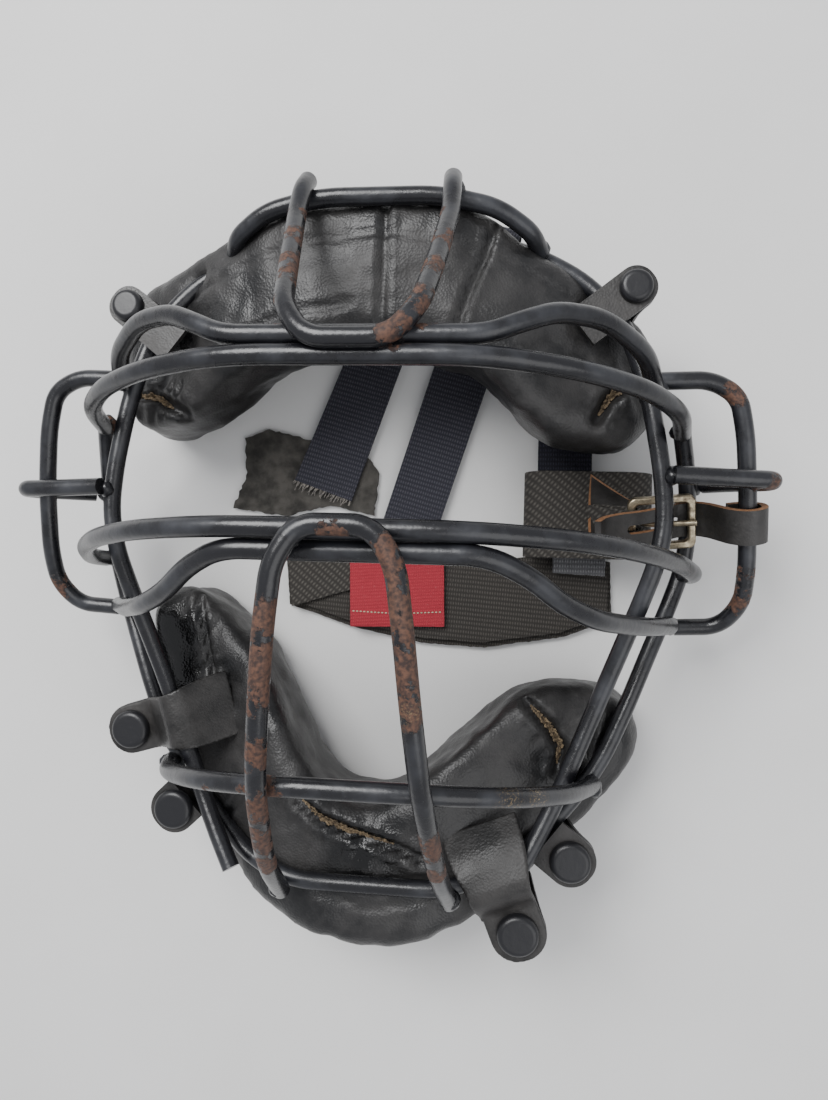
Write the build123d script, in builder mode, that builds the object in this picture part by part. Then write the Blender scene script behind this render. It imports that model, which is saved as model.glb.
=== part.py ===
from build123d import *
import math
import os

os.makedirs("parts", exist_ok=True)

# A baseball catcher's mask lying on its back: the face side of the pads is down on the surface
# that it stands on, and the wire cage is up.  +X is to the right for somebody who faces the
# wearer, +Y is towards the forehead and +Z is away from the face.
# Millimetres.  The origin is on that surface, under the middle of the whole mask.

# ---------------------------------------------------------------- overall sizes
mask_width = 290.0      # over the two ear pins
mask_height = 282.0     # from the crown bar's hooks to the chin pad
mask_depth = 140.0      # from the surface to the front of the nose arch

# ---------------------------------------------------------------- stock sizes
wire_d = 6.5            # coated steel wire of the whole cage
weld_sink = 0.25        # how far one wire is melted into the next
wire_gap = 0.35         # leather or cloth to the wire that it goes round
leather_t = 2.2         # snap tabs
web_t = 1.8             # elastic crown straps
web_w = 25.0            # their width
band_fold_t = 7.4       # the wide elastic head band, folded together
cap_d = 15.5            # snap cap
brow_cap_d = 12.0       # smaller caps of the two brow snaps
cap_h = 3.2
stud_d = 6.0            # snap stud under the cap
strap_w = 13.0          # leather ear strap
strap_t = 2.4
bar_d = 2.8             # brass wire of the buckle

# The stations below are places on a mask of 290 x 282 x 140.
width_ratio = mask_width / 290.0
height_ratio = mask_height / 282.0
depth_ratio = mask_depth / 140.0
wire_r = wire_d / 2
stack = wire_d - weld_sink


def at(x, y, z):
    """A station of the mask, moved with the three overall sizes."""
    return Vector(x * width_ratio, y * height_ratio, z * depth_ratio)


def export(piece, name):
    piece.part.label = name
    export_step(piece.part, f"parts/{name}.step")


# ---------------------------------------------------------------- bent wire
def bend_radii(points, closed=False):
    """The largest bends that leave a straight bit on both runs at each corner."""
    count = len(points)
    corners = range(count) if closed else range(1, count - 1)
    radii = []
    for i in corners:
        run_in = points[i] - points[i - 1]
        run_out = points[(i + 1) % count] - points[i]
        half_turn = math.radians(run_in.get_angle(run_out)) / 2
        radii.append(0.45 * min(run_in.length, run_out.length) / math.tan(half_turn))
    return radii


def bent_wire(points, radius=wire_r):
    with BuildPart() as rod:
        with BuildLine() as run:
            FilletPolyline(*points, radius=bend_radii(points))
        with BuildSketch(Plane(origin=run.line @ 0, z_dir=run.line % 0)):
            Circle(radius)
        sweep()
    return rod


def mirrored(half):
    """The left half of a wire that is the same on both sides, outermost point first."""
    return [Vector(-p.X, p.Y, p.Z) for p in reversed(half)]


# ---------------------------------------------------------------- cage stations, right half
# The two perimeter wires.  The head rail is the front one, open at the chin; the jaw rail is
# the outer one, open at the brow and further back along the cheeks.
brow_weld = at(111, 53, 53)
head_half = [at(26, 127, 54), at(56, 119, 54), at(76, 108, 54), at(90, 90, 57), at(98, 66, 59),
             at(103, 38, 60), at(104.5, 21, 60), at(102, 6, 60), at(97, -9, 58), at(90, -29, 54),
             at(83, -48, 51.5), at(68, -86, 53.5), at(60, -101, 58), at(52, -114, 62)]
jaw_half = [at(28, -117, 61), at(46, -112, 55), at(60, -103, 46.5), at(76, -87, 41),
            at(87, -71, 40), at(96, -50, 38.5), at(104, -30, 35.5), at(112, -12, 31),
            at(118, 4, 28), at(119, 20, 31), at(115, 41, 43), brow_weld]
crown_half = [at(22, 133, 75), at(42, 129, 73), at(54, 122, 68), at(57.5, 118, 60.3)]

# The face bars, from the brow down to the mouth.
brow_half = [at(40, 72, 119), at(51, 77, 115), at(61, 81.5, 109), at(77, 82.5, 98),
             at(93, 76, 80), at(98.5, 68, 65.2)]
upper_eye_half = [at(40, 65.3, 122), at(70, 63.5, 110), at(92, 61, 93), at(106, 57, 75),
                  brow_weld]
lower_eye_half = [at(38, 13.5, 130), at(68, 12, 117), at(89, 9.5, 100), at(106, 6, 76),
                  at(117, 2, 51), at(119.3, 1, 34.3)]
cheek_kink_shift = 3.0  # the cheek bar's two kinks sit this far to the right of true
cheek_weld = at(111, -18, 38)
cheek_half = [at(39, 7.1, 127.5), at(52, 1, 120), at(62, -7, 112), at(74, -12.5, 102),
              at(92, -16, 77), at(106, -17.5, 51)]
mouth_half = [at(24, -65.5, 115.8), at(50, -68.5, 104), at(71, -74, 79), at(83.2, -79, 46.8)]
crown_u_half = [at(12.5, 69.2, 126.8), at(20.5, 80, 122), at(23.5, 98, 106), at(26.5, 122, 87),
                at(26.3, 133.5, 81.2), at(26, 139, 75)]
arch_half = [at(10.5, 14.5, 136.6), at(17.5, 4, 136.8), at(20, -15, 135), at(22, -36, 131),
             at(25, -64.5, 122.4), at(28.5, -97, 97), at(31, -118.5, 67)]

# ---------------------------------------------------------------- cage wires
head_rail = bent_wire(list(reversed(head_half)) + list(reversed(mirrored(head_half))))
export(head_rail, "head_rail")
jaw_rail = bent_wire(mirrored(jaw_half) + jaw_half)
export(jaw_rail, "jaw_rail")
crown_arc = bent_wire(mirrored(crown_half) + crown_half)
export(crown_arc, "crown_arc")
brow_bar = bent_wire(mirrored(brow_half) + brow_half)
export(brow_bar, "brow_bar")
upper_eye_bar = bent_wire(mirrored(upper_eye_half) + upper_eye_half)
export(upper_eye_bar, "upper_eye_bar")
lower_eye_bar = bent_wire(mirrored(lower_eye_half) + lower_eye_half)
export(lower_eye_bar, "lower_eye_bar")
cheek_left = [Vector(p.X + cheek_kink_shift, p.Y, p.Z) for p in mirrored(cheek_half)]
cheek_right = [Vector(p.X + cheek_kink_shift, p.Y, p.Z) for p in cheek_half]
cheek_bar = bent_wire(mirrored([cheek_weld]) + cheek_left + cheek_right + [cheek_weld])
export(cheek_bar, "cheek_bar")
mouth_bar = bent_wire(mirrored(mouth_half) + mouth_half)
export(mouth_bar, "mouth_bar")
crown_bar = bent_wire(mirrored(crown_u_half) + crown_u_half)
export(crown_bar, "crown_bar")
nose_arch = bent_wire(mirrored(arch_half) + arch_half)
export(nose_arch, "nose_arch")

# ---------------------------------------------------------------- ear loops and their pins
ear_half = [at(101, 71, 60), at(119, 71.5, 60), at(129, 66, 59), at(132, 52, 58),
            at(134.5, 28, 54), at(137, 4, 46), at(137.5, -9, 39), at(131, -18.5, 33),
            at(114.3, -19.5, 32)]
ear_loop_right = bent_wire(ear_half)
export(ear_loop_right, "ear_loop_right")
ear_loop_left = bent_wire(mirrored(ear_half))
export(ear_loop_left, "ear_loop_left")


def loop_point(y):
    """The middle of the ear loop's straight side at height y, on the right."""
    above = ear_half[4]
    below = ear_half[5]
    share = (y * height_ratio - above.Y) / (below.Y - above.Y)
    return above + (below - above) * share


def ear_pin(y):
    """A hairpin that goes round the ear loop and is welded to both rails, at height y."""
    loop = loop_point(y)
    level = y * height_ratio
    nose = at(141.7, 0, 0).X
    return bent_wire([at(106, y + 1, 65.7),
                      Vector(loop.X - 3, level, loop.Z + stack + 1.9),
                      Vector(nose - 0.5, level, loop.Z + 5.5),
                      Vector(nose, level, loop.Z - 4.5),
                      Vector(loop.X - 1, level, loop.Z - stack - 2.2),
                      at(122.5, y, 38)])


ear_pin_right_y = 36.0
ear_pin_left_y = 28.0
ear_pin_right = ear_pin(ear_pin_right_y)
export(ear_pin_right, "ear_pin_right")
ear_pin_left_shape = ear_pin(ear_pin_left_y)
with BuildPart() as ear_pin_left:
    mirror(ear_pin_left_shape.part, about=Plane.YZ)
export(ear_pin_left, "ear_pin_left")


# ---------------------------------------------------------------- pads
def pad_solid(outline, section, channels=()):
    """A pad: its outline seen from the front, trimmed to its section seen from the chin."""
    tall = at(0, 0, 100).Z
    with BuildPart() as pad:
        with BuildSketch(Plane.XY):
            with BuildLine():
                FilletPolyline(*outline, radius=bend_radii(outline, closed=True), close=True)
            make_face()
        extrude(amount=tall)
        with BuildSketch(Plane.XZ):
            with BuildLine():
                FilletPolyline(*section, radius=bend_radii(section, closed=True), close=True)
            make_face()
        extrude(amount=mask_height, both=True, mode=Mode.INTERSECT)
        for channel in channels:
            add(channel, mode=Mode.SUBTRACT)
    return pad


def section_points(front, back):
    """A section that is the same on both sides: half of the front face, half of the back."""
    half = [at(x, z, 0) for x, z in front + back]
    half = [Vector(p.X, p.Y / height_ratio * depth_ratio, 0) for p in half]
    return half + [Vector(-p.X, p.Y, 0) for p in reversed(half)]


# The forehead pad is a padded crescent.  It is sewn round the head rail, which runs in a
# channel through it, and its two lobes stand on the surface.
fore_outline = [at(-112, 78, 0), at(-106, 106, 0), at(-70, 120, 0), at(-32, 133, 0),
                at(30, 133, 0), at(66, 113, 0), at(97, 97, 0), at(107, 76, 0),
                at(97, 50, 0), at(62, 50, 0), at(34, 83, 0), at(-38, 86, 0),
                at(-80, 57, 0), at(-104, 54, 0)]
fore_front = [(34, 72), (66, 61), (90, 47), (114, 38)]
fore_back = [(114, 6), (107, 0), (95, 0), (86, 12.5), (60, 22), (30, 30)]
rail_channel = bent_wire(list(reversed(head_half)) + list(reversed(mirrored(head_half))),
                         radius=wire_r + wire_gap)
arc_channel = bent_wire(mirrored(crown_half) + crown_half, radius=wire_r + wire_gap)
forehead_pad = pad_solid(fore_outline, section_points(fore_front, fore_back),
                         [rail_channel.part, arc_channel.part])
notch_w = web_w + 4
strap_x = [-7.5, 37.0]      # where the two crown straps leave the head rail
with BuildPart() as forehead_pad_cut:
    add(forehead_pad.part)
    for x in strap_x:
        with Locations(at(x, 126, 0) + Vector(0, 0, 31)):
            Box(notch_w, 30, 62, mode=Mode.SUBTRACT)
export(forehead_pad_cut, "forehead_pad")

# The chin pad is a horseshoe that lies behind the jaw rail, turned a little to the left.
chin_outline = [at(-82, -8, 0), at(-99, -20, 0), at(-90, -52, 0), at(-70, -108, 0),
                at(-37, -137, 0), at(6, -143.3, 0), at(42, -131, 0), at(84, -92, 0),
                at(104, -68, 0), at(97, -48, 0), at(60, -46, 0), at(36, -64, 0),
                at(8, -92, 0), at(-20, -90, 0), at(-54, -32, 0)]
chin_front = [(20, 56.5), (44, 50), (60, 41.5), (76, 36.5), (106, 33.5)]
chin_back = [(106, 3), (98, 0), (84, 0), (50, 8), (20, 13)]
chin_pad = pad_solid(chin_outline, section_points(chin_front, chin_back))
export(chin_pad, "chin_pad")


# ---------------------------------------------------------------- snap fastenings
def strip(line, thickness, width, plane):
    """A flat strap: its line seen from the side, given a thickness and a width."""
    with BuildPart() as band:
        with BuildSketch(plane):
            with BuildLine():
                if len(line) == 2:
                    Line(*line)
                else:
                    FilletPolyline(*line, radius=bend_radii(line))
            trace(line_width=thickness)
        extrude(amount=width / 2, both=True)
    return band


def points_uz(pairs):
    return [Vector(u, z, 0) for u, z in pairs]


def snap_fastening(name, foot, angle, height, tab_rise, under_rise, width, cap_d,
                   usual_cap_d):
    """A leather tab that goes over the wire and snaps to an under strap outside it.

    foot is the place of the snap in plan, angle is the way out from the pad in degrees, and
    height is the top of the under strap.  The two rises are (distance, height) pairs from
    the snap back towards the pad, and the tab's first pair is where it is hinged.
    """
    out = Vector(math.cos(math.radians(angle)), math.sin(math.radians(angle)), 0)
    side = Vector(out.Y, -out.X, 0)
    # A larger mask spreads the bends, thicker wire lifts them, a wider cap stands further out.
    further = (cap_d - usual_cap_d) / 2
    spread = math.hypot(out.X * width_ratio, out.Y * height_ratio)
    foot = foot + out * further
    place = Plane(origin=(foot.X, foot.Y, height), x_dir=out, z_dir=side)
    over = Plane(origin=(foot.X, foot.Y, height), x_dir=out, z_dir=(0, 0, 1))
    end = width / 2
    tab_level = 0.3 + leather_t / 2
    flat_start = -cap_d / 2 - 2.4
    tab_rise = [(u * spread - further, z if z == tab_level else z + wire_d - 6.5)
                for u, z in tab_rise]
    under_rise = [(u * spread - further, z) for u, z in under_rise]
    tab_line = points_uz(list(tab_rise) + [(end, tab_level)])
    if tab_rise[-1][1] != tab_level:
        tab_line.insert(-1, Vector(flat_start, tab_level, 0))
    under_line = points_uz(list(under_rise) + [(-1.5, -leather_t / 2),
                                               (end, -leather_t / 2)])
    strips = []
    for line in (tab_line, under_line):
        flat = strip(line, leather_t, width, place)
        with BuildPart() as shaped:
            add(flat.part)
            corners = shaped.edges().filter_by(Axis.Z).sort_by(Axis(foot, out))[-2:]
            fillet(corners, width / 2 - 0.6)
            if line is tab_line:
                with BuildSketch(over.offset(-1)):
                    Circle(stud_d / 2 + 0.5)
                extrude(amount=leather_t + 3, mode=Mode.SUBTRACT)
        strips.append(shaped)
    cap_base = 0.3 + leather_t
    with BuildPart() as cap:
        with BuildSketch(over.offset(cap_base)):
            Circle(cap_d / 2)
        extrude(amount=cap_h)
        fillet(cap.edges().group_by(Axis.Z)[-1], cap_h * 0.7)
        with BuildSketch(over.offset(cap_base - 0.1)):
            Circle(stud_d / 2 + 0.5)
        extrude(amount=1.8, mode=Mode.SUBTRACT)
    with BuildPart() as stud:
        with BuildSketch(over.offset(0)):
            Circle(stud_d / 2)
        extrude(amount=cap_base + 1.2)
        chamfer(stud.edges().group_by(Axis.Z)[-1], 0.8)
    export(strips[0], f"{name}_tab")
    export(strips[1], f"{name}_under_strap")
    export(cap, f"{name}_cap")
    export(stud, f"{name}_stud")
    hinge = place.from_local_coords(Vector(tab_rise[0][0], tab_rise[0][1], 0))
    print(name, "hinge", [round(v, 2) for v in hinge], "axis", [round(v, 4) for v in side])


low_rail_top = at(0, 0, 44.9).Z + wire_r + wire_gap - 0.3
brow_rail_top = at(0, 0, 57.3).Z + wire_r + wire_gap - 0.3
flat = 0.3 + leather_t / 2
snap_fastening("chin_snap_right_low", at(56, -131, 0), -67.7, at(0, 0, 58).Z,
               [(-40, -3.8), (-30.6, 5.6), (-19, 10.6), (-14.2, 7.2)],
               [(-13, -15), (-9, -6.5)], 21, cap_d, 15.5)
snap_fastening("chin_snap_right_high", at(75, -107, 0), -37, low_rail_top,
               [(-11.2, flat)],
               [(-9, -14), (-5.6, -5)], 19, cap_d, 15.5)
snap_fastening("chin_snap_left_high", at(-101.5, -68, 0), 197, at(0, 0, 41).Z,
               [(-45, 3.5), (-35, 11), (-29, 16.5), (-22.5, 17), (-17, 10)],
               [(-17, -10.4), (-11, -7.4)], 20, cap_d, 15.5)
snap_fastening("chin_snap_left_low", at(-80.5, -97.5, 0), 225, low_rail_top - 2.2,
               [(-6.5, flat)],
               [(-7, -12), (-5.0, -5)], 19, cap_d, 15.5)
snap_fastening("brow_snap_right", at(91.5, 104, 0), 38, brow_rail_top,
               [(-24, flat + 0.5), (-17, flat)],
               [(-4.2, -13), (-3.9, -5)], 15, brow_cap_d, 12.0)
snap_fastening("brow_snap_left", at(-97.5, 98, 0), 142, brow_rail_top + 1.2,
               [(-24, flat + 0.5), (-17, flat)],
               [(-4.2, -13), (-3.9, -5)], 15, brow_cap_d, 12.0)

# ---------------------------------------------------------------- leather ear strap and buckle
# The strap goes round the right ear loop and in under the buckle's outer bar.  Everything
# on it is drawn across the ear loop: u runs inwards from the loop, v is towards the front.
strap_y = 21.0
loop_mid = loop_point(strap_y)
along_loop = (ear_half[4] - ear_half[5]).normalized()
inward = Vector(-1, 0, 0)
inward = (inward - along_loop * inward.dot(along_loop)).normalized()
ear_plane = Plane(origin=loop_mid, x_dir=inward, z_dir=along_loop)
outer_bar_u = 18.0
pivot_u = 40.0
frame_v = -8.0
bar_r = bar_d / 2
frame_in = strap_w + 2.4        # clear width inside the buckle frame
wrap_r = wire_r + wire_gap + strap_t / 2 + 0.9

strap_line = points_uz([(6, -5.4), (1, -wrap_r - 0.2), (-wrap_r, -3.4), (-wrap_r, 3.4),
                        (0.5, wrap_r + 0.3), (6, 2.6), (12, -7.5), (17, -11.4), (22, -10.9),
                        (31, -5.8), (38, -3.0), (44, -2.5), (51, 0.6), (54, 6)])
ear_strap_blank = strip(strap_line, strap_t, strap_w, ear_plane)
prong_d = 2.2
slot_w = prong_d + 1.2
with BuildPart() as ear_strap:
    add(ear_strap_blank.part)
    with BuildSketch(Plane(origin=ear_plane.from_local_coords(Vector(32.5, -20, 0)),
                           x_dir=ear_plane.x_dir, z_dir=ear_plane.y_dir)):
        SlotOverall(20, slot_w)
    extrude(amount=19, mode=Mode.SUBTRACT)
export(ear_strap, "ear_strap")

bar_span = frame_in / 2 + bar_r
corner = 3.0
with BuildPart() as buckle_frame:
    frame_plane = Plane(origin=ear_plane.from_local_coords(Vector(0, frame_v, 0)),
                        x_dir=ear_plane.x_dir, z_dir=ear_plane.y_dir)
    middle_u = (outer_bar_u + pivot_u) / 2
    with BuildSketch(frame_plane.offset(-bar_r)):
        with Locations((middle_u, 0)):
            RectangleRounded(pivot_u - outer_bar_u + bar_d, 2 * bar_span + bar_d, corner)
            RectangleRounded(pivot_u - outer_bar_u - bar_d, 2 * bar_span - bar_d,
                             corner - bar_r, mode=Mode.SUBTRACT)
    extrude(amount=bar_d)
    fillet(buckle_frame.edges().group_by(Axis(frame_plane.origin, frame_plane.z_dir))[-1],
           bar_r * 0.55)
export(buckle_frame, "buckle_frame")

# The prong is bent round the pivot bar and rests on the outer bar.
eye_r = bar_r * 1.42 + 0.45 + prong_d / 2
tip_v = frame_v + bar_r + prong_d / 2 + 0.5
prong_line = points_uz([(pivot_u + 0.6, frame_v + eye_r), (pivot_u + eye_r, frame_v + 0.8),
                        (pivot_u + eye_r - 0.6, frame_v - eye_r + 0.4),
                        (pivot_u - eye_r + 0.4, frame_v - eye_r),
                        (pivot_u - eye_r - 2.2, frame_v + 0.6), (outer_bar_u - 1.2, tip_v)])
prong_points = [ear_plane.from_local_coords(p) for p in prong_line]
buckle_prong = bent_wire(prong_points, radius=prong_d / 2)
export(buckle_prong, "buckle_prong")
print("pivot", [round(v, 2) for v in ear_plane.from_local_coords(Vector(pivot_u, frame_v, 0))])
print("loop", [round(v, 2) for v in loop_mid], "axis", [round(v, 4) for v in along_loop])

# The chape is the folded end of the elastic, sewn round the pivot bar either side of the prong.
chape_t = 1.3
chape_r = bar_r * 1.42 + 0.4 + chape_t / 2
chape_end = pivot_u + 15
chape_line = points_uz([(chape_end, frame_v - 13.2), (pivot_u + 8, frame_v - 7.6),
                        (pivot_u, frame_v - chape_r - 0.1),
                        (pivot_u - chape_r, frame_v - 1.2), (pivot_u - chape_r, frame_v + 1.2),
                        (pivot_u, frame_v + chape_r + 0.1), (pivot_u + 9, frame_v - 3.6),
                        (chape_end, frame_v - 10.4)])
chape_blank = strip(chape_line, chape_t, strap_w - 0.6, ear_plane)
with BuildPart() as chape:
    add(chape_blank.part)
    with BuildSketch(frame_plane.offset(-10)):
        with Locations((pivot_u, 0)):
            Rectangle(16, prong_d + 1.4)
    extrude(amount=20, mode=Mode.SUBTRACT)
export(chape, "buckle_chape")

# ---------------------------------------------------------------- elastic head band
band_top = band_fold_t
chape_tip = ear_plane.from_local_coords(Vector(chape_end, frame_v - 13.2, 0))
roll_top = chape_tip.Z - 1.9
roll_base = band_top - 0.2
roll_t = roll_top - roll_base
with BuildPart() as elastic_roll:
    with BuildSketch(Plane.XZ.offset(-at(0, 6, 0).Y)):
        with Locations((at(81, 0, 0).X, roll_top - roll_t / 2)):
            SlotOverall(at(52, 0, 0).X, roll_t)
    extrude(amount=-at(0, 36, 0).Y)
export(elastic_roll, "elastic_roll")
band_outline = [at(-50, 3, 0), at(-47, -19, 0), at(-18, -27, 0), at(12, -33, 0),
                at(40, -34, 0), at(74, -28, 0), at(94.5, -20, 0), at(93, 6, 0),
                at(66, 9, 0), at(40, 4, 0)]
with BuildPart() as head_band:
    with BuildSketch(Plane.XY):
        with BuildLine():
            FilletPolyline(*band_outline, radius=2.5, close=True)
        make_face()
    extrude(amount=band_top)
export(head_band, "head_band")
label_size = (40.0, 27.0)
label_turn = -5.0
with BuildPart() as band_label:
    with BuildSketch(Plane(origin=at(1, -11, 0) + Vector(0, 0, band_top + 0.1),
                           x_dir=Vector(1, 0, 0).rotate(Axis.Z, label_turn))):
        RectangleRounded(*label_size, 1.0)
    extrude(amount=0.7)
export(band_label, "band_label")

# The side web is sewn under the roll and dips to pass behind the forehead pad.
web_high = roll_base - web_t / 2 + 0.2
web_plane = Plane(origin=(at(72.5, 0, 0).X, 0, 0), x_dir=(0, 1, 0), z_dir=(1, 0, 0))
web_line = points_uz([(at(0, 22, 0).Y, web_high), (at(0, 38, 0).Y, web_high),
                      (at(0, 45, 0).Y, web_high - 3.5), (at(0, 59, 0).Y, web_t / 2 + 0.2)])
side_web = strip(web_line, web_t, web_w - 2, web_plane)
export(side_web, "side_web")
print("roll", round(roll_base, 2), round(roll_top, 2), "band top", round(band_top, 2))

# ---------------------------------------------------------------- crown straps
def crown_strap(top, turn, tail, slack):
    """An elastic strap sewn round the head rail, down behind the forehead pad to its tail."""
    down = Vector(0, -1, 0).rotate(Axis.Z, turn)
    across = Vector(-down.Y, down.X, 0)
    plane = Plane(origin=top, x_dir=down, z_dir=Vector(down.Y, -down.X, 0))
    wrap = wire_r + wire_gap + web_t / 2 + slack
    floor = tail_z + web_t / 2 - top.Z
    line = points_uz([(5, -9.5), (wrap - 0.6, -3.4), (wrap, 2.6), (0.5, wrap), (-wrap, 2.6),
                      (-wrap, -4), (2.2, -16), (9, -30), (20, floor + 1), (34, floor)])
    riser = strip(line, web_t, web_w, plane)
    start = Vector(top.X, top.Y, 0) + down * 33.5
    with BuildPart() as strap:
        add(riser.part)
        with BuildSketch(Plane.XY.offset(tail_z)):
            with BuildLine():
                Polyline(start - across * web_w / 2, start + across * web_w / 2,
                         tail[0], tail[1], close=True)
            make_face()
        extrude(amount=web_t)
    return strap


tail_z = 2.3            # height of the crown straps' tails
strap_left_top = at(strap_x[0], 127, 54)
left_turn = -7.0       # the left strap leaves the rail a little aslant
crown_strap_left = crown_strap(strap_left_top, left_turn, [at(-21, 29, 0), at(-47, 38, 0)],
                               1.2 + web_w / 2 * math.sin(math.radians(-left_turn)))
export(crown_strap_left, "crown_strap_left")
rail_share = (strap_x[1] - 26) / (56 - 26)
strap_mid_top = head_half[0] + (head_half[1] - head_half[0]) * rail_share
rail_turn = math.degrees(math.atan2(head_half[1].Y - head_half[0].Y,
                                    head_half[1].X - head_half[0].X))
crown_strap_middle = crown_strap(strap_mid_top, rail_turn, [at(15.5, 10, 0), at(-10, 9, 0)],
                                 1.8)
export(crown_strap_middle, "crown_strap_middle")
print("crown hinges", [round(v, 2) for v in strap_left_top],
      [round(v, 2) for v in strap_mid_top], round(rail_turn, 2))

# The torn suede patch that the left crown strap is sewn to.
patch_t = 2.0
patch_outline = [at(-75, 26, 0), at(-68, 40, 0), at(-69, 57, 0), at(-56, 60, 0),
                 at(-16, 49, 0), at(-10, 40, 0), at(-11, 22, 0)]
with BuildPart() as suede_patch:
    with BuildSketch(Plane.XY.offset(tail_z - 0.1 - patch_t)):
        with BuildLine():
            FilletPolyline(*patch_outline, radius=2.0, close=True)
        make_face()
    extrude(amount=patch_t)
export(suede_patch, "suede_patch")
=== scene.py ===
# %% [markdown]
# A worn baseball catcher's mask lies on its pads with the wire cage up.  The cage, the
# straps, the snaps and the buckle come ready made, at their real sizes, as the frame.
# This lesson gives them their finishes and models the soft and broken parts around them.

# %% Load the frame
import math
import random

import bmesh
import bpy
from mathutils import Matrix, Vector


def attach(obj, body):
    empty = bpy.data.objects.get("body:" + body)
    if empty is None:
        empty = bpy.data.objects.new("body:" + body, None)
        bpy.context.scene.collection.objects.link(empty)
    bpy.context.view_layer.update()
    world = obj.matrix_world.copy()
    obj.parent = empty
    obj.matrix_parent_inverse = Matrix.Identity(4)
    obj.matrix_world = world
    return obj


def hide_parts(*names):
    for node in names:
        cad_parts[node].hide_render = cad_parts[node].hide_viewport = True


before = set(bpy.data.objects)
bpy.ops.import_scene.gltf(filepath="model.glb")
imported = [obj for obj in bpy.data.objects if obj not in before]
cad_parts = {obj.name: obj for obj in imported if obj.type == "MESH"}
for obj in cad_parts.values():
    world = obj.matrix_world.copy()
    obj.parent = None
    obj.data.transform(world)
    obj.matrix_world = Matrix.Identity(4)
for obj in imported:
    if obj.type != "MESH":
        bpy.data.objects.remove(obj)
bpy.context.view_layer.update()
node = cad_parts
random.seed(7)
MM = 0.001
print("frame loaded:", len(node), "pieces")


# %% [markdown]
# A few small helpers are used all the time.  An operator works on everything that is
# selected, so one piece is picked on its own first.  Settling a piece applies its
# modifiers, so that what is seen is real geometry.  Places are written in millimetres and
# turned into metres, and a shape built point by point becomes a piece of the scene.

# %% Helpers for picking, settling and building
def pick(piece):
    bpy.ops.object.select_all(action="DESELECT")
    piece.select_set(True)
    bpy.context.view_layer.objects.active = piece


def settle(piece):
    pick(piece)
    for modifier in list(piece.modifiers):
        bpy.ops.object.modifier_apply(modifier=modifier.name)
    bpy.ops.object.transform_apply(location=True, rotation=True, scale=True)


def mm(*values):
    return Vector(values) * MM


def built(shape, name):
    mesh = bpy.data.meshes.new(name)
    shape.to_mesh(mesh)
    shape.free()
    piece = bpy.data.objects.new(name, mesh)
    bpy.context.scene.collection.objects.link(piece)
    return piece


# %% [markdown]
# Every finish starts from the same few shader steps: noise, a ramp, a blend of two
# colours and a bump.  Wrapping each in a function keeps the finishes short to read.

# %% Shader helpers
def new_finish(name):
    finish = bpy.data.materials.new(name)
    finish.use_nodes = True
    tree = finish.node_tree
    place = tree.nodes.new("ShaderNodeTexCoord").outputs["Object"]
    return finish, tree, tree.nodes["Principled BSDF"], place


def noise(tree, place, scale, detail=4.0, roughness=0.55):
    step = tree.nodes.new("ShaderNodeTexNoise")
    step.inputs["Scale"].default_value = scale
    step.inputs["Detail"].default_value = detail
    step.inputs["Roughness"].default_value = roughness
    tree.links.new(place, step.inputs["Vector"])
    return step.outputs["Fac"]


def ramp(tree, value, low, high, out_low=0.0, out_high=1.0):
    step = tree.nodes.new("ShaderNodeMapRange")
    step.inputs["From Min"].default_value = low
    step.inputs["From Max"].default_value = high
    step.inputs["To Min"].default_value = out_low
    step.inputs["To Max"].default_value = out_high
    tree.links.new(value, step.inputs["Value"])
    return step.outputs["Result"]


def blend_colour(tree, amount, first, second):
    step = tree.nodes.new("ShaderNodeMix")
    step.data_type = "RGBA"
    tree.links.new(amount, step.inputs["Factor"])
    for socket, colour in ((step.inputs["A"], first), (step.inputs["B"], second)):
        if isinstance(colour, tuple):
            socket.default_value = (*colour, 1.0)
        else:
            tree.links.new(colour, socket)
    return step.outputs["Result"]


def combine(tree, operation, first, second):
    step = tree.nodes.new("ShaderNodeMath")
    step.operation = operation
    step.use_clamp = True
    for socket, value in zip(step.inputs, (first, second)):
        if isinstance(value, (int, float)):
            socket.default_value = value
        else:
            tree.links.new(value, socket)
    return step.outputs["Value"]


def bump(tree, shader, height, distance, strength):
    step = tree.nodes.new("ShaderNodeBump")
    step.inputs["Strength"].default_value = strength
    step.inputs["Distance"].default_value = distance
    tree.links.new(height, step.inputs["Height"])
    old = shader.inputs["Normal"]
    if old.is_linked:
        tree.links.new(old.links[0].from_socket, step.inputs["Normal"])
    tree.links.new(step.outputs["Normal"], old)


def spots(tree, place, centres):
    """How near a place is to any of the (x, y, z, radius) spots, all in millimetres."""
    total = None
    for x, y, z, radius in centres:
        away = tree.nodes.new("ShaderNodeVectorMath")
        away.operation = "DISTANCE"
        away.inputs[1].default_value = mm(x, y, z)
        tree.links.new(place, away.inputs[0])
        near = ramp(tree, away.outputs["Value"], radius * MM, radius * 0.35 * MM)
        total = near if total is None else combine(tree, "MAXIMUM", total, near)
    return total


def facing_up(tree):
    """1 where the surface looks up, 0 where it looks sideways or down."""
    normal = tree.nodes.new("ShaderNodeNewGeometry").outputs["Normal"]
    split = tree.nodes.new("ShaderNodeSeparateXYZ")
    tree.links.new(normal, split.inputs["Vector"])
    return ramp(tree, split.outputs["Z"], 0.1, 0.95)


# %% [markdown]
# The wire is steel with a thin black coat.  The coat has gone dusty, is rubbed pale on
# the highest bars, and has let rust through on the nose arch, at the bends of the ear
# loops and on the pins.  The rust is placed by spots in space, each x, y, z and radius in
# millimetres, and broken up with noise.  A few spots are chipped down to the primer.

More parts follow.
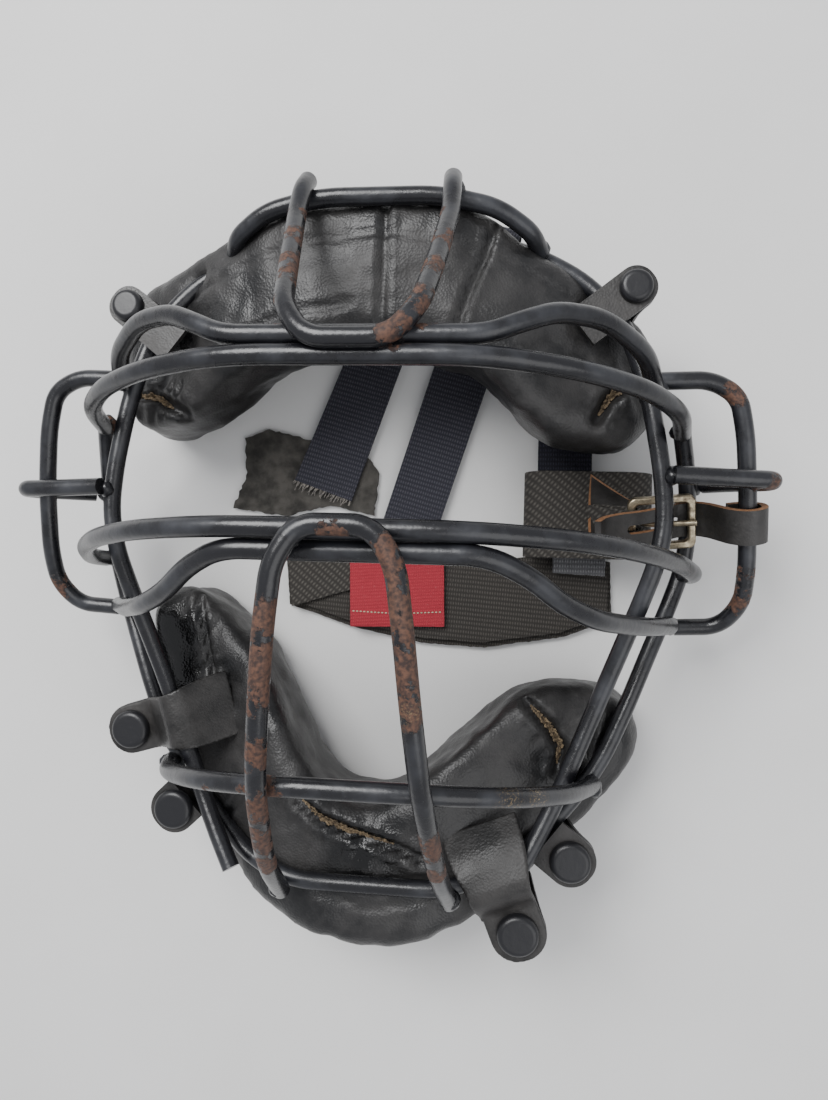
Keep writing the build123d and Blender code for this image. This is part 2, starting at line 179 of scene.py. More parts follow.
# %% Coated wire finish
RUST = [(-20, -12, 137, 9), (-21, -24, 134, 11), (-22, -35, 131, 8), (-24, -52, 126, 9),
        (-25, -70, 118, 11), (-27, -84, 107, 11), (-28, -95, 98, 9), (17, 6, 139, 9),
        (18, -4, 138, 11), (20, -16, 136, 11), (21, -28, 133, 11), (22, -38, 131, 7),
        (27, -82, 108, 10), (28, -94, 99, 7), (-22, 80, 117, 8), (-23, 96, 104, 9),
        (-24, 108, 95, 9), (-22, 90, 110, 9), (25, 106, 97, 8), (23, 92, 108, 9),
        (20, 80, 119, 10), (14, 71, 127, 8), (0, 12, 138, 6), (128, 68, 60, 8),
        (137, -7, 39, 10), (136, 4, 45, 6), (-137, -10, 38, 9), (139, 36, 60, 7),
        (142, 36, 53, 6), (-26, 120, 87, 6),
        (25, 118, 88, 6), (-44, -70, 107, 4), (113, 42, 44, 4), (-110, 54, 54, 5)]
CHIPPED = [(50, -70, 103, 7), (60, -71, 96, 6), (22, -37, 131, 5)]

wire_finish, tree, shader, place = new_finish("coated_wire_worn")
dust = combine(tree, "MULTIPLY", facing_up(tree), ramp(tree, noise(tree, place, 60, 8), 0.45, 0.8))
scuffed = ramp(tree, noise(tree, place, 900, 10, roughness=0.8), 0.6, 0.68)
colour = blend_colour(tree, dust, (0.007, 0.007, 0.009), (0.05, 0.053, 0.062))
colour = blend_colour(tree, combine(tree, "MULTIPLY", scuffed, 0.35), colour, (0.14, 0.14, 0.15))
rust_edge = ramp(tree, noise(tree, place, 190, 8, roughness=0.7), 0.38, 0.6)
rust = ramp(tree, combine(tree, "MULTIPLY", spots(tree, place, RUST), rust_edge), 0.2, 0.3)
rust_colour = blend_colour(tree, ramp(tree, noise(tree, place, 700, 8), 0.38, 0.62),
                           (0.03, 0.014, 0.010), (0.115, 0.052, 0.030))
colour = blend_colour(tree, rust, colour, rust_colour)
flecks = ramp(tree, noise(tree, place, 1500, 8, roughness=0.75), 0.55, 0.6)
chips = combine(tree, "MULTIPLY", spots(tree, place, CHIPPED), flecks)
colour = blend_colour(tree, combine(tree, "MULTIPLY", chips, 0.8), colour, (0.34, 0.24, 0.12))
tree.links.new(colour, shader.inputs["Base Color"])
gloss = combine(tree, "ADD", combine(tree, "MULTIPLY", dust, 0.22),
                combine(tree, "MULTIPLY", rust, 0.4))
tree.links.new(combine(tree, "ADD", gloss, 0.27), shader.inputs["Roughness"])
shader.inputs["Specular IOR Level"].default_value = 0.6
bump(tree, shader, noise(tree, place, 380, 6), 0.0003, 0.45)
bump(tree, shader, rust, 0.00025, 0.8)
print("wire finish:", len(RUST), "rust spots,", len(CHIPPED), "chipped spots")

# %% [markdown]
# The fourteen wires keep the shape that they come with, and only get the finish.  The slot
# name tells which material of the real mask each piece is made of.

# %% Finish the wires
WIRES = ["head_rail", "jaw_rail", "crown_arc", "brow_bar", "upper_eye_bar", "lower_eye_bar",
         "cheek_bar", "mouth_bar", "crown_bar", "nose_arch", "ear_loop_left",
         "ear_loop_right", "ear_pin_left", "ear_pin_right"]


def dress(piece, finish):
    piece.data.materials.clear()
    piece.data.materials.append(finish)


for name in WIRES:
    dress(node[name], wire_finish)
print("wires finished:", len(WIRES))


# %% [markdown]
# Where two wires meet there is a bead of weld under the coat.  A bead is a small lump, so
# at each joint an icosphere is stretched, turned, and its points moved a little at random.

# %% Weld beads
BEAD_RADIUS = 3.6
BOTH_SIDES = [(101, 70, 60), (113, -19, 33), (118, 1, 31), (83, -79, 48), (32, -117, 68),
              (27, 134, 76), (57, 118, 60), (98, 66, 58), (110, 54, 53)]
ONE_SIDE = [(136, 36, 58), (-136, 28, 58), (106, 37, 61), (-105, 28, 61), (119, 36, 37),
            (-118, 28, 37)]
bead_places = [(s * x, y, z) for x, y, z in BOTH_SIDES for s in (1, -1)] + ONE_SIDE
beads = []
for x, y, z in bead_places:
    bpy.ops.mesh.primitive_ico_sphere_add(subdivisions=3, radius=BEAD_RADIUS * MM,
                                          location=mm(x, y, z))
    bead = bpy.context.active_object
    bead.rotation_euler = (random.uniform(0, 3), random.uniform(0, 3), random.uniform(0, 3))
    bead.scale = (1.25, 1.0, 0.85)
    for point in bead.data.vertices:
        point.co *= 1 + random.uniform(-0.05, 0.05)
    bpy.ops.object.shade_smooth()
    beads.append(bead)
bpy.ops.object.select_all(action="DESELECT")
for bead in beads:
    bead.select_set(True)
bpy.context.view_layer.objects.active = beads[0]
bpy.ops.object.join()
weld_beads = bpy.context.active_object
weld_beads.name = "weld_beads"
settle(weld_beads)
dress(weld_beads, wire_finish)
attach(weld_beads, "cage")
print("weld beads:", len(bead_places))

# %% [markdown]
# The pads are black leather that has dried out: dull and grey with dust on top, creased,
# with a fine grain, and still dark and shiny where hands and cheeks have polished it.  The
# polished places are spots too.

# %% Pad leather finish
POLISHED = [(-85, -28, 40, 17), (-84, -46, 40, 15), (-88, -38, 38, 14), (-97, 80, 45, 16),
            (-80, 90, 55, 12), (0, -108, 54, 17), (80, 98, 55, 10)]


def leather_finish(name, dark, dusty, polished, grain=0.00022):
    finish, tree, shader, place = new_finish(name)
    patches = ramp(tree, noise(tree, place, 45, 8, roughness=0.65), 0.36, 0.66)
    dust = combine(tree, "MULTIPLY", combine(tree, "ADD", facing_up(tree), 0.25), patches)
    cracks = ramp(tree, noise(tree, place, 330, 9, roughness=0.75), 0.58, 0.68)
    colour = blend_colour(tree, dust, dark, dusty)
    pale = tuple(min(1.0, 1.9 * c) for c in dusty)
    colour = blend_colour(tree, combine(tree, "MULTIPLY", cracks, 0.22), colour, pale)
    gloss = ramp(tree, patches, 0.0, 1.0, 0.33, 0.56)
    if polished:
        shine = spots(tree, place, polished)
        shine = combine(tree, "MULTIPLY", shine, ramp(tree, noise(tree, place, 120), 0.3, 0.5))
        colour = blend_colour(tree, shine, colour, tuple(0.55 * c for c in dark))
        gloss = combine(tree, "SUBTRACT", gloss, combine(tree, "MULTIPLY", shine, 0.28))
    tree.links.new(colour, shader.inputs["Base Color"])
    tree.links.new(gloss, shader.inputs["Roughness"])
    cells = tree.nodes.new("ShaderNodeTexVoronoi")
    cells.inputs["Scale"].default_value = 1100
    tree.links.new(place, cells.inputs["Vector"])
    bump(tree, shader, cells.outputs["Distance"], grain, 0.5)
    bump(tree, shader, noise(tree, place, 150, 7), 0.0006, 0.35)
    return finish


pad_finish = leather_finish("pad_leather_worn", (0.008, 0.008, 0.0085), (0.038, 0.036, 0.035),
                            POLISHED)
strap_finish = leather_finish("strap_leather_worn", (0.010, 0.0095, 0.009),
                              (0.045, 0.042, 0.04), None, 0.00015)
print("leather finishes: pad and strap")


# %% [markdown]
# A stuffed pad is round and uneven, unlike a cut block.  A copy of the plain pad is
# rebuilt as an even skin with the Remesh modifier and then smoothed, which rounds every
# edge.  Lumps of three sizes are added to the skin.

# %% Skins and lumps
PAD_CELL = 0.0019
PAD_LUMPS = ((0.040, 0.0060), (0.015, 0.0022), (0.006, 0.0006))


def skin_copy(source, name, cell, factor, rounds):
    """A copy of a plain piece that will become one even, rounded skin when it is settled."""
    piece = bpy.data.objects.new(name, source.data.copy())
    bpy.context.scene.collection.objects.link(piece)
    pick(piece)
    bpy.ops.object.mode_set(mode="EDIT")
    bpy.ops.mesh.select_all(action="SELECT")
    bpy.ops.mesh.remove_doubles(threshold=1e-5)
    bpy.ops.object.mode_set(mode="OBJECT")
    remesh = piece.modifiers.new("even skin", "REMESH")
    remesh.mode = "VOXEL"
    remesh.voxel_size = cell
    smooth = piece.modifiers.new("round off", "SMOOTH")
    smooth.factor = factor
    smooth.iterations = rounds
    return piece


def plump_copy(source, name, rounds):
    piece = skin_copy(source, name, PAD_CELL, 0.6, rounds)
    for size, strength in PAD_LUMPS:
        lumps = bpy.data.textures.new(f"{name} lumps {size}", "CLOUDS")
        lumps.noise_scale = size
        dent = piece.modifiers.new("lumps", "DISPLACE")
        dent.texture = lumps
        dent.strength = strength
        dent.mid_level = 0.3
    settle(piece)
    bpy.ops.object.shade_smooth()
    return piece


forehead = plump_copy(node["forehead_pad"], "forehead_pad_stuffed", 55)
chin = plump_copy(node["chin_pad"], "chin_pad_stuffed", 50)
print("skins:", len(forehead.data.polygons), "and", len(chin.data.polygons), "faces")

# %% [markdown]
# The seams and creases are pressed into the skins by moving the points near each line.
# Each line is its corners seen from above, then its width, depth and the height of the
# lip beside it, in millimetres.

# %% Seams and creases
FOREHEAD_LINES = [
    ([(2, 134), (2, 108), (1, 82)], 1.5, 2.6, 0.8),
    ([(41, 124), (38, 113), (33, 102), (28, 86)], 1.5, 2.6, 0.8),
    ([(-104, 90), (-88, 98), (-66, 107), (-30, 118), (0, 121), (40, 114), (80, 96)],
     1.1, 1.2, 0.3),
    ([(-106, 68), (-94, 67), (-80, 60)], 2.4, 5.0, 1.0),
    ([(98, 74), (90, 71), (84, 66), (80, 58)], 2.4, 5.0, 1.2),
    ([(-60, 84), (-36, 92), (-10, 96)], 1.6, 1.3, 0.4),
    ([(50, 78), (62, 84), (76, 80)], 1.6, 1.5, 0.4)]
CHIN_LINES = [
    ([(-77, -14), (-73, -30), (-69, -46), (-62, -62)], 1.5, 3.6, 1.2),
    ([(-29, -88), (-19, -95), (-9, -99), (11, -104), (20, -108)], 2.0, 4.2, 1.8),
    ([(-20, -122), (0, -127), (20, -123), (44, -112)], 1.4, 1.4, 0.4),
    ([(85, -50), (82, -62), (80, -74), (76, -86)], 1.5, 3.0, 1.0),
    ([(58, -50), (66, -58), (72, -68), (70, -76)], 2.2, 5.0, 1.6),
    ([(-60, -100), (-48, -84), (-44, -66)], 1.5, 1.6, 0.5)]
FACES_UP = 0.15
FLOOR_GAP = 0.2


def near_line(point, line):
    """How far a point is from a line, and how far along the line it is."""
    best, along, passed = 1.0, 0.0, 0.0
    for start, end in zip(line, line[1:]):
        run = end - start
        share = max(0.0, min(1.0, (point - start).dot(run) / run.length_squared))
        away = (point - start - run * share).length
        if away < best:
            best, along = away, passed + share * run.length
        passed += run.length
    return best, along


def press_line(piece, corners, width, depth, lip):
    """A groove along a line seen from above, with a raised lip either side of it."""
    line = [Vector((x, y)) * MM for x, y in corners]
    for point in piece.data.vertices:
        if point.normal.z < FACES_UP:
            continue
        away, along = near_line(Vector(point.co[:2]), line)
        away /= width * MM
        if away < 8:
            groove = math.exp(-away * away)
            ridge = math.exp(-((away - 1.7) ** 2) * 1.5)
            pucker = math.sin(along / MM * 1.1 + 2 * math.sin(along / MM * 0.31))
            pucker *= 0.16 * depth * math.exp(-((away - 2.6) ** 2) * 0.35)
            point.co.z -= (depth * groove - lip * ridge + pucker) * MM


def finish_pad(piece, lines, hidden):
    for corners, width, depth, lip in lines:
        press_line(piece, corners, width, depth, lip)
    for point in piece.data.vertices:
        point.co.z = max(point.co.z, FLOOR_GAP * MM)
    dress(piece, pad_finish)
    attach(piece, "cage")
    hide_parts(hidden)


finish_pad(forehead, FOREHEAD_LINES, "forehead_pad")
finish_pad(chin, CHIN_LINES, "chin_pad")
print("lines pressed:", len(FOREHEAD_LINES) + len(CHIN_LINES))


# %% [markdown]
# The leather has split at the ends of both pads and along the chin seam, and crumbling
# stuffing shows.  Each split gets a ragged strip laid in its groove, with torn, lifted
# edges and a crumbly surface.  A split is its corners seen from above, the number of rows
# along it and half its width.

# %% Crumbling stuffing in the splits
def plain_finish(name, colour, roughness, mottled, scale=500):
    finish, tree, shader, place = new_finish(name)
    amount = ramp(tree, noise(tree, place, scale, 6), 0.35, 0.65)
    tree.links.new(blend_colour(tree, amount, colour, mottled), shader.inputs["Base Color"])
    shader.inputs["Roughness"].default_value = roughness
    bump(tree, shader, noise(tree, place, scale * 1.6, 6), 0.0005, 0.8)
    return finish


stuffing_finish = plain_finish("crumbled_stuffing", (0.05, 0.036, 0.024), 0.9,
                               (0.27, 0.20, 0.12), 650)
SPLITS = [("split_brow_left", forehead, [(-104, 68), (-94, 67), (-86, 62)], 34, 1.5),
          ("split_brow_right", forehead, [(96, 73), (90, 71), (85, 67), (81, 60)], 40, 1.7),
          ("split_chin_seam", chin, [(-27, -89), (-19, -95), (-9, -99), (9, -103)], 56, 1.2),
          ("split_chin_right", chin, [(59, -51), (66, -58), (71, -66), (70, -74)], 48, 1.6)]
ABOVE_ALL = 0.2
ACROSS = (-1.0, -0.6, -0.2, 0.2, 0.6, 1.0)


def on_pad(pad, spot, lift):
    """The place on top of a pad right above or below a spot, lifted a little."""
    hit, touch, _, _ = pad.ray_cast(Vector((spot.x, spot.y, ABOVE_ALL)), Vector((0, 0, -1)))
    return touch + mm(0, 0, lift) if hit else None


for name, pad, corners, count, half_width in SPLITS:
    torn = bmesh.new()
    line = [mm(x, y, 0) for x, y in corners]
    rows = []
    for index in range(count):
        share = index / (count - 1) * (len(line) - 1)
        start = min(int(share), len(line) - 2)
        run = (line[start + 1] - line[start]).normalized()
        middle = line[start].lerp(line[start + 1], share - start)
        taper = math.sin(math.pi * (index + 0.5) / count) ** 0.5
        places = []
        for across in ACROSS:
            away = (across * half_width * random.uniform(0.5, 1.3)) * taper
            spot = middle + Vector((-run.y, run.x, 0)) * away * MM
            edge = abs(across) ** 2 * random.uniform(-0.3, 1.5) * taper
            places.append(on_pad(pad, spot, 0.15 + edge))
        if None not in places:
            rows.append([torn.verts.new(at) for at in places])
    for first, second in zip(rows, rows[1:]):
        for index in range(len(first) - 1):
            torn.faces.new((first[index], first[index + 1], second[index + 1], second[index]))
    piece = built(torn, name)
    solid = piece.modifiers.new("thickness", "SOLIDIFY")
    solid.thickness = 0.5 * MM
    finer = piece.modifiers.new("finer", "SUBSURF")
    finer.levels = 2
    rough = bpy.data.textures.new(f"{name} crumbs", "CLOUDS")
    rough.noise_scale = 0.0009
    crumbs = piece.modifiers.new("crumbs", "DISPLACE")
    crumbs.texture = rough
    crumbs.strength = 0.0011
    settle(piece)
    dress(piece, stuffing_finish)
    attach(piece, "cage")
print("splits:", len(SPLITS))

# %% [markdown]
# The snap tabs are strap leather, the caps are black enamel over metal and the studs are
# brass.  The ear strap is thicker leather, and its cut edges show brown.

# %% Finish the tabs, caps, studs and ear strap
enamel_finish, tree, shader, place = new_finish("cap_enamel_scuffed")
worn = ramp(tree, noise(tree, place, 500, 10, roughness=0.8), 0.62, 0.7)
tree.links.new(blend_colour(tree, worn, (0.011, 0.011, 0.013), (0.07, 0.07, 0.075)),
               shader.inputs["Base Color"])
shader.inputs["Roughness"].default_value = 0.36
bump(tree, shader, noise(tree, place, 300, 6), 0.0003, 0.4)

brass_finish, tree, shader, place = new_finish("tarnished_brass")
tarnish = ramp(tree, noise(tree, place, 420, 8, roughness=0.7), 0.4, 0.66)
tree.links.new(blend_colour(tree, tarnish, (0.50, 0.43, 0.30), (0.14, 0.11, 0.08)),
               shader.inputs["Base Color"])
tree.links.new(ramp(tree, tarnish, 0.0, 1.0, 0.28, 0.55), shader.inputs["Roughness"])
shader.inputs["Metallic"].default_value = 0.95
SNAPS = ["chin_snap_right_low", "chin_snap_right_high", "chin_snap_left_high",
         "chin_snap_left_low", "brow_snap_right", "brow_snap_left"]
edge_finish = plain_finish("brown_cut_edge", (0.17, 0.075, 0.03), 0.8, (0.30, 0.15, 0.07), 700)
for snap in SNAPS:
    dress(node[f"{snap}_tab"], strap_finish)
    dress(node[f"{snap}_under_strap"], strap_finish)
    dress(node[f"{snap}_cap"], enamel_finish)
    dress(node[f"{snap}_stud"], brass_finish)
dress(node["ear_strap"], strap_finish)
for name in ("buckle_frame", "buckle_prong"):
    dress(node[name], brass_finish)


def brown_edges(piece, across):
    """The faces that look along the strap's width are its cut edges."""
    piece.data.materials.append(edge_finish)
    for face in piece.data.polygons:
        if abs(face.normal.dot(across)) > 0.9:
            face.material_index = 1


loop_way = Vector((-0.0983, 0.9441, 0.3147)).normalized()
brown_edges(node["ear_strap"], loop_way)
print("snap fastenings finished:", len(SNAPS))

# %% [markdown]
# Two of the tabs are broad where they leave the pad and have been cut by hand, so they
# are not straight sided.  A copy of each is widened away from its snap, point by point,
# and given a slightly wavy outline.

# %% Hand-cut snap tabs
TAB_CELL = 0.0006
STRAIGHT_SHARE = 0.2


def hand_cut(snap, foot, out_angle, reach, widen, waviness):
    piece = skin_copy(node[f"{snap}_tab"], f"{snap}_tab_leather", TAB_CELL, 0.5, 3)
    settle(piece)
    out = Vector((math.cos(math.radians(out_angle)), math.sin(math.radians(out_angle)), 0))
    side = Vector((-out.y, out.x, 0))
    start = mm(*foot)
    for point in piece.data.vertices:
        inward = -(point.co - start).dot(out) / (reach * MM)
        if inward > STRAIGHT_SHARE:
            share = min(1.0, (inward - STRAIGHT_SHARE) / (1 - STRAIGHT_SHARE))
            across = (point.co - start).dot(side)
            wave = 1 + waviness * math.sin(inward * 9 + (1.3 if across > 0 else 0.2))
            point.co += side * across * ((1 + widen * share) * wave - 1)
    bpy.ops.object.shade_smooth()
    dress(piece, strap_finish)
    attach(piece, f"{snap}_tab")
    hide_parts(f"{snap}_tab")
    return len(piece.data.polygons)


counts = [hand_cut("chin_snap_right_low", (56, -131, 0), -67.7, 40, 0.42, 0.05),
          hand_cut("chin_snap_left_high", (-101.5, -68, 0), 197, 45, 0.30, 0.05)]
print("hand-cut tabs:", counts, "faces")


# %% [markdown]
# Elastic webbing is woven: fine ribs one way and a slower wave the other.  Two crossed
# wave textures give the weave as colour and as bump, turned to follow each strap.  The
# pitch of the ribs is in millimetres.

# %% Webbing finishes
def web_finish(name, dark, light, turn, pitch=1.1, fuzz=(0.2, 0.19, 0.18)):
    finish, tree, shader, place = new_finish(name)
    mapping = tree.nodes.new("ShaderNodeMapping")
    mapping.inputs["Rotation"].default_value = (0, 0, math.radians(turn))
    tree.links.new(place, mapping.inputs["Vector"])
    threads = []
    for direction, scale in (("X", 1.0), ("Y", 0.55)):
        wave = tree.nodes.new("ShaderNodeTexWave")
        wave.bands_direction = direction
        wave.inputs["Scale"].default_value = scale * 314 / pitch
        wave.inputs["Distortion"].default_value = 0.6
        tree.links.new(mapping.outputs["Vector"], wave.inputs["Vector"])
        threads.append(wave.outputs["Fac"])
    weave = combine(tree, "MULTIPLY", threads[0], threads[1])
    colour = blend_colour(tree, weave, dark, light)
    lint = ramp(tree, noise(tree, place, 800, 8, roughness=0.8), 0.6, 0.7)
    colour = blend_colour(tree, combine(tree, "MULTIPLY", lint, 0.45), colour, fuzz)
    tree.links.new(colour, shader.inputs["Base Color"])
    shader.inputs["Roughness"].default_value = 0.92
    bump(tree, shader, weave, 0.0004, 0.8)
    bump(tree, shader, noise(tree, place, 110, 5), 0.0012, 0.5)
    return finish


navy_finish = web_finish("navy_webbing", (0.022, 0.022, 0.031), (0.075, 0.074, 0.092), 16)
navy_side_finish = web_finish("navy_side_webbing", (0.014, 0.014, 0.022),
                              (0.045, 0.045, 0.068), 0)
elastic_finish = web_finish("charcoal_elastic", (0.028, 0.025, 0.022), (0.10, 0.092, 0.08), 38,
                            1.5)
band_finish = web_finish("dark_band_elastic", (0.026, 0.023, 0.02), (0.085, 0.077, 0.068), 4)
grey_finish = web_finish("grey_webbing", (0.10, 0.10, 0.105), (0.24, 0.24, 0.25), 0)
suede_finish = plain_finish("torn_suede", (0.03, 0.028, 0.025), 0.95, (0.085, 0.079, 0.07), 160)
dress(node["crown_strap_left"], navy_finish)
dress(node["crown_strap_middle"], navy_finish)
dress(node["side_web"], navy_side_finish)
dress(node["buckle_chape"], elastic_finish)
print("webbing finishes ready")


# %% [markdown]
# Flat cloth pieces are cut like real ones: an outline, a thickness with Solidify and a
# soft edge with Bevel.  A ragged edge is the same outline with its points moved a little,
# and a piece that sags is divided finely first and then raised in waves.

# %% A helper for cut pieces, and the suede patch
EDGE_STEP = 1.5
FINE_EDGE = 4


def cut_piece(name, corners, low, thick, finish, body, ragged=0.0, sag=0.0):
    outline = []
    for index, (x, y) in enumerate(corners):
        following = corners[(index + 1) % len(corners)]
        run = math.hypot(following[0] - x, following[1] - y)
        steps = max(1, int(run / EDGE_STEP)) if ragged else 1
        for step in range(steps):
            share = step / steps
            outline.append((x + (following[0] - x) * share + random.uniform(-ragged, ragged),
                            y + (following[1] - y) * share + random.uniform(-ragged, ragged)))
    cloth = bmesh.new()
    points = [cloth.verts.new(mm(x, y, low)) for x, y in outline]
    face = cloth.faces.new(points)
    if face.normal.z < 0:
        face.normal_flip()
    bmesh.ops.triangulate(cloth, faces=cloth.faces[:])
    if sag:
        for _ in range(4):
            long_edges = [e for e in cloth.edges if e.calc_length() > FINE_EDGE * MM]
            bmesh.ops.subdivide_edges(cloth, edges=long_edges, cuts=1)
            bmesh.ops.triangulate(cloth, faces=cloth.faces[:])
        for point in cloth.verts:
            wave = math.sin(point.co.x * 90) * math.cos(point.co.y * 130 + point.co.x * 40)
            point.co.z += max(0.0, wave) * sag * MM
    bmesh.ops.recalc_face_normals(cloth, faces=cloth.faces[:])
    piece = built(cloth, name)
    solid = piece.modifiers.new("thickness", "SOLIDIFY")
    solid.thickness = thick * MM
    solid.offset = 1 if piece.data.polygons[0].normal.z > 0 else -1
    soft = piece.modifiers.new("soft edge", "BEVEL")
    soft.width = thick * 0.3 * MM
    soft.segments = 2
    soft.limit_method = "ANGLE"
    soft.angle_limit = math.radians(50)
    settle(piece)
    bpy.ops.object.shade_smooth_by_angle(angle=math.radians(50))
    dress(piece, finish)
    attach(piece, body)
    return piece


suede = cut_piece("suede_patch_torn",
                  [(-76, 25), (-70, 40), (-71, 57), (-60, 61), (-40, 56), (-16, 51), (-9, 42),
                   (-11, 23), (-30, 27), (-52, 22)], 0.1, 2.0, suede_finish,
                  "crown_strap_left", ragged=0.5)
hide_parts("suede_patch")
print("suede patch:", len(suede.data.polygons), "faces")

# %% [markdown]
# The end of the left crown strap has frayed to pale rubber and thread.  Thin strands stick
# out of it, each a short tapering tube with only a few sides.

# %% Frayed strap end
strand_finish = plain_finish("frayed_rubber", (0.34, 0.31, 0.27), 0.9, (0.12, 0.11, 0.11), 900)
STRANDS = 46
strands = bmesh.new()
end_left, end_right = mm(-47, 38, 3.2), mm(-21, 29, 3.2)
outward = (mm(-34, 33.5, 0) - mm(-14, 76, 0)).normalized()
for index in range(STRANDS):
    start = end_left.lerp(end_right, (index + random.random()) / STRANDS)
    start += mm(0, 0, random.uniform(-0.7, 0.7))
    way = (outward + Vector((random.uniform(-0.35, 0.35), random.uniform(-0.35, 0.35),
                             random.uniform(-0.05, 0.2)))).normalized()
    length = random.uniform(1.5, 5.0) * MM
    turn = way.to_track_quat("Z", "Y").to_matrix().to_4x4()
    shape = Matrix.Translation(start + way * (length / 2 - 0.5 * MM)) @ turn
    bmesh.ops.create_cone(strands, cap_ends=True, segments=5, radius1=0.3 * MM,
                          radius2=0.12 * MM, depth=length, matrix=shape)
fray = built(strands, "crown_strap_left_fray")
dress(fray, strand_finish)
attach(fray, "crown_strap_left")
print("strands:", STRANDS)

# %% [markdown]
# The wide head band is elastic folded on itself, with a turned-over corner at the left
# and a sewn label.  Three cut pieces, one on another, show the layers at the edges.

# %% Folded head band
LOWER = [(-50, 3), (-48, -18), (-18, -27), (12, -33), (40, -34), (74, -28), (94, -20),
         (93, 5), (66, 8), (40, 3.5), (0, 5)]
UPPER = [(-47, 2), (-46, -16), (-18, -24.5), (12, -30.5), (40, -31.5), (72, -26), (92, -18),
         (92, 5), (66, 7), (40, 3), (0, 4.5)]
FOLD = [(-48, 5.5), (-9, 4.5), (-12, -8), (-46, -18.5)]
lower = cut_piece("band_lower_layer", LOWER, 0.2, 2.4, band_finish, "head_band",
                  ragged=0.15, sag=0.6)
upper = cut_piece("band_upper_layer", UPPER, 3.1, 2.2, band_finish, "head_band",
                  ragged=0.15, sag=0.8)
fold = cut_piece("band_turned_corner", FOLD, 5.8, 1.5, elastic_finish, "head_band",
                 ragged=0.2, sag=0.5)
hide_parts("head_band")
print("band layers: 3")

# %% [markdown]
# The label is a plain red woven tag with a cream line of stitches.  It carries no words.
# Each stitch is a small long bead of thread that lies along the line.

# %% Label and stitches
label_finish = web_finish("red_woven_label", (0.33, 0.022, 0.036), (0.52, 0.052, 0.07), -5, 0.8,
                          (0.55, 0.26, 0.25))
label = cut_piece("band_label_woven", [(-20, 3.6), (21.5, 3.2), (22.4, -25), (-19, -26.4)], 7.3,
                  0.9, label_finish, "head_band", ragged=0.06, sag=0.25)
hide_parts("band_label")
thread_finish = plain_finish("cream_thread", (0.62, 0.54, 0.38), 0.85, (0.42, 0.36, 0.26), 900)
THREAD_RADIUS = 0.35


def stitch_row(name, line, pitch, body):
    """A row of short threads along a line of places in millimetres."""
    row = bmesh.new()
    points = [mm(*p) for p in line]
    count = 0
    for start, end in zip(points, points[1:]):
        run = end - start
        turn = run.to_track_quat("Z", "Y").to_matrix().to_4x4()
        for index in range(int(run.length / (pitch * MM))):
            middle = start + run.normalized() * (index + 0.5) * pitch * MM
            shape = Matrix.Translation(middle) @ turn @ Matrix.Diagonal((1, 1, pitch * 0.95, 1))
            bmesh.ops.create_uvsphere(row, u_segments=6, v_segments=5,
                                      radius=THREAD_RADIUS * MM, matrix=shape)
            count += 1
    piece = built(row, name)
    dress(piece, thread_finish)
    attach(piece, body)
    return count


made = stitch_row("label_stitches", [(-18.5, -19.5, 8.5), (2, -20, 8.55), (21.5, -18.6, 8.5)],
                  1.6, "head_band")
print("label stitches:", made)

# %% [markdown]
# The roll beside the buckle is a wide elastic turned over and over.  Seen from the end it
# is a flat spiral, so a ribbon is laid along a spiral path and given the cloth's thickness.

# %% Elastic roll
def spiral_path(left, right, low, high, thick, turns):
    path = []
    for turn in range(turns):
        inset = turn * thick * 1.25
        x0, x1, z0, z1 = left + inset, right - inset, low + inset, high - inset
        radius = (z1 - z0) / 2
        if radius < thick:
            break
        middle = (z0 + z1) / 2
        for step in range(13):
            angle = math.radians(-90 + step * 15)
            path.append((x1 - radius + radius * math.cos(angle), middle + radius * math.sin(angle)))
        for step in range(12):
            angle = math.radians(90 + step * 15)
            path.append((x0 + radius + radius * math.cos(angle), middle + radius * math.sin(angle)))
        path.append((x0 + radius, z0 + thick * 0.3))
    return path


ROLL_BACK, ROLL_STEP, ROLL_ROWS = 6.4, 1.76, 21
path = spiral_path(55.8, 106.2, 8.0, 27.2, 2.3, 3)
ribbon = bmesh.new()
rows = []
for y in [ROLL_BACK + step * ROLL_STEP for step in range(ROLL_ROWS)]:
    rows.append([ribbon.verts.new(mm(x, y, z + 0.25 * math.sin(x * 0.35 + y * 0.3)))
                 for x, z in path])
for first, second in zip(rows, rows[1:]):
    for index in range(len(path) - 1):
        ribbon.faces.new((first[index], first[index + 1], second[index + 1], second[index]))
roll = built(ribbon, "elastic_roll_wound")
solid = roll.modifiers.new("thickness", "SOLIDIFY")
solid.thickness = 1.5 * MM
solid.offset = 0
soft = roll.modifiers.new("soft edge", "BEVEL")
soft.width = 0.4 * MM
soft.segments = 2
soft.limit_method = "ANGLE"
settle(roll)
bpy.ops.object.shade_smooth_by_angle(angle=math.radians(50))
dress(roll, elastic_finish)
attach(roll, "head_band")
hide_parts("elastic_roll")
print("roll:", len(roll.data.polygons), "faces")

# %% [markdown]
# A short end of grey web comes out below the roll, just above the band.

# %% Grey web end
grey = cut_piece("grey_web_end", [(68, 10), (90, 10.5), (90, -1), (68, 0)], 9.4, 1.8,
                 grey_finish, "head_band", ragged=0.2, sag=0.4)
print("grey end:", len(grey.data.polygons), "faces")

# %% [markdown]
# The leather end that holds the buckle to the elastic has dried and curled up at its
# sides, showing brown cut edges.  A grid is bent into a shallow trough and thickened.

